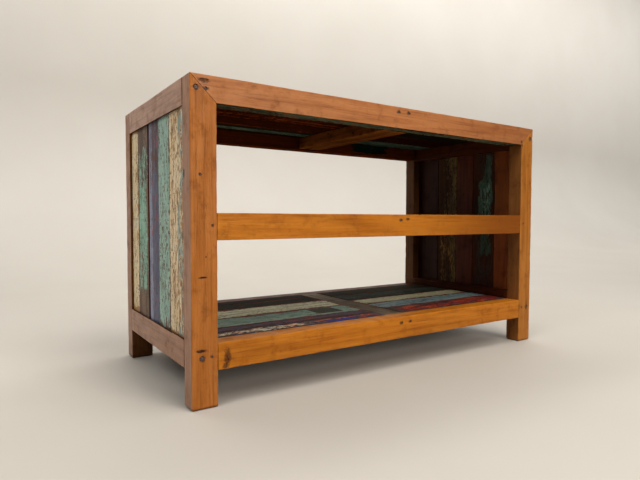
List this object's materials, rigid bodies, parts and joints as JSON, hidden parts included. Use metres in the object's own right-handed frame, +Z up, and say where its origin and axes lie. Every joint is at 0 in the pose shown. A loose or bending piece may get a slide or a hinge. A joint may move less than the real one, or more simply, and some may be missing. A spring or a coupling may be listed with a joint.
{
  "type": "open bathroom vanity cabinet",
  "caption": "Open floor-standing vanity stand in reclaimed timber: framed posts and rails, planked sides, boarded top, middle and bottom shelves, open front and back.",
  "frame": {"origin": "on the floor, under the centre of the stand's bounding box", "axes": "+X to the viewer's right along the front, +Y from front to back, +Z up"},
  "size_m": [1, 0.46, 0.6],
  "materials": {
    "frame": "oiled warm orange-brown reclaimed teak, satin, worn arrises and nail holes; greyer on the side faces",
    "inner": "dark red-brown reclaimed timber with remains of old paint",
    "cream": "flaking cream paint over teal and bare wood",
    "yellow": "worn yellow-cream paint over bare wood",
    "teal": "flaking teal-green paint over brown wood",
    "green": "crazed green paint with dark cracks",
    "slate": "slate-blue paint with red and orange flecks",
    "blue": "pale blue-teal paint, rubbed",
    "dark": "blackened green paint, rubbed",
    "olive": "olive-brown wood with yellow-green paint remains",
    "red": "dark red paint, rubbed, with blue and cream flecks",
    "mixed": "many layers of paint scraped through: cream, teal, blue, red",
    "brown": "bare dark brown boat timber",
    "iron": "old iron nail head, dull and pitted"
  },
  "bodies": {
    "root": {"front_left_post": "frame", "front_right_post": "frame", "back_left_post": "frame", "back_right_post": "frame", "nail_front_left_top": "iron", "nail_front_right_top": "iron", "nail_front_left_bottom": "iron", "nail_front_right_bottom": "iron", "top_front_rail": "frame", "top_back_rail": "inner", "middle_front_rail": "frame", "middle_back_rail": "inner", "bottom_front_rail": "frame", "bottom_back_rail": "inner", "top_cross_rail": "frame", "middle_cross_rail": "inner", "bottom_cross_rail": "brown", "top_left_rail": "frame", "bottom_left_rail": "frame", "middle_left_bearer": "inner", "top_right_rail": "frame", "bottom_right_rail": "frame", "middle_right_bearer": "inner", "left_plank_1": "cream", "left_plank_2": "green", "left_plank_3": "slate", "left_plank_4": "teal", "left_plank_5": "yellow", "right_plank_1": "brown", "right_plank_2": "green", "right_plank_3": "red", "right_plank_4": "olive", "right_plank_5": "brown", "top_left_board_1": "slate", "top_left_board_2": "olive", "top_left_board_3": "red", "top_left_board_4": "teal", "top_right_board_1": "cream", "top_right_board_2": "green", "top_right_board_3": "brown", "top_right_board_4": "teal", "middle_left_board_1": "slate", "middle_left_board_2": "cream", "middle_left_board_3": "brown", "middle_right_board_1": "teal", "middle_right_board_2": "brown", "middle_right_board_3": "green", "bottom_left_board_1": "mixed", "bottom_left_board_2": "slate", "bottom_left_board_3": "teal", "bottom_left_board_4": "cream", "bottom_left_board_5": "olive", "bottom_left_board_6": "dark", "bottom_right_board_1": "red", "bottom_right_board_2": "blue", "bottom_right_board_3": "cream", "bottom_right_board_4": "green", "bottom_right_board_5": "dark"}
  },
  "joints": []
}
